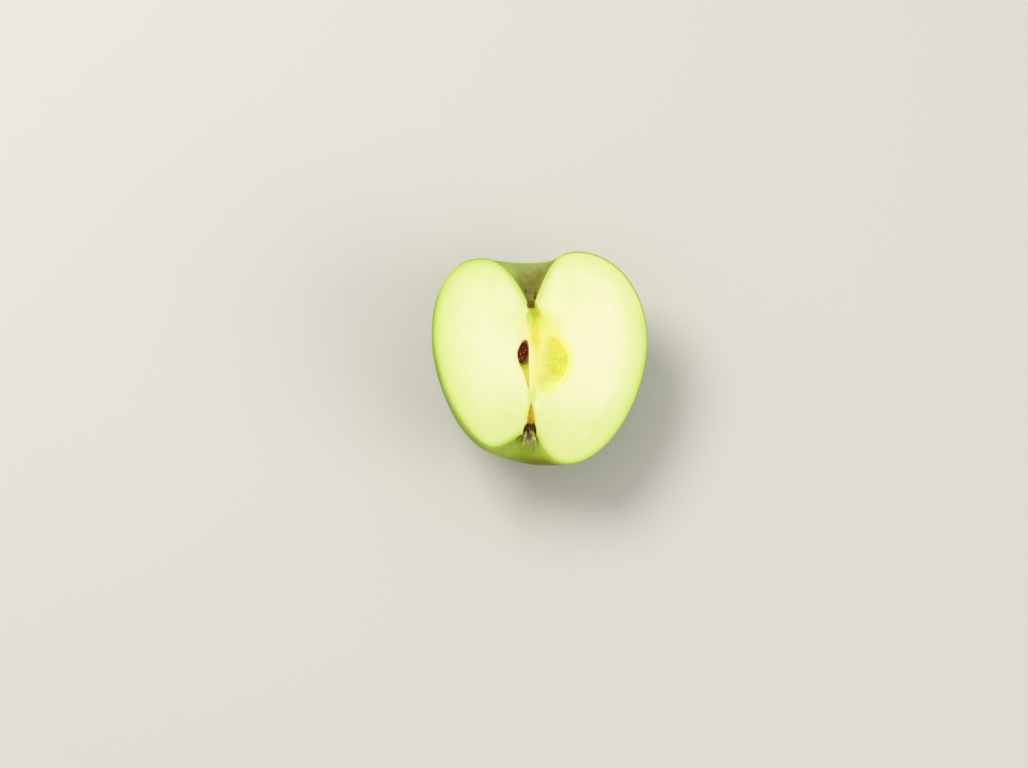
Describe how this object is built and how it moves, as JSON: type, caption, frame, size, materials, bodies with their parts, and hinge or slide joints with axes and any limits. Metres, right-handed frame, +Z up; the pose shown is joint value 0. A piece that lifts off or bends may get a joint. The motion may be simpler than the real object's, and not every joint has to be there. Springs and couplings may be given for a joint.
{
  "type": "apple half",
  "caption": "Half of a green eating apple, cut lengthwise through stalk and core, lying on its back with the cut face up; its seed chambers and a seed show.",
  "frame": {"origin": "on the surface it lies on, under the middle of the half's box", "axes": "+Z up; +Y towards the stalk end, which lies a little higher than the calyx end; +X towards the wider side, which lies a little lower than the narrow side"},
  "size_m": [0.0766, 0.0756, 0.0504],
  "materials": {
    "flesh_and_skin": "moist cream flesh on the cut, waxy green skin outside",
    "seed_coat": "glossy dark brown",
    "stalk_wood": "dry brown wood",
    "dry_calyx": "dry and shrivelled, grey brown"
  },
  "bodies": {
    "root": {"apple_half": "flesh_and_skin", "seed": "seed_coat", "stalk_stub": "stalk_wood", "dried_calyx": "dry_calyx"}
  },
  "joints": []
}
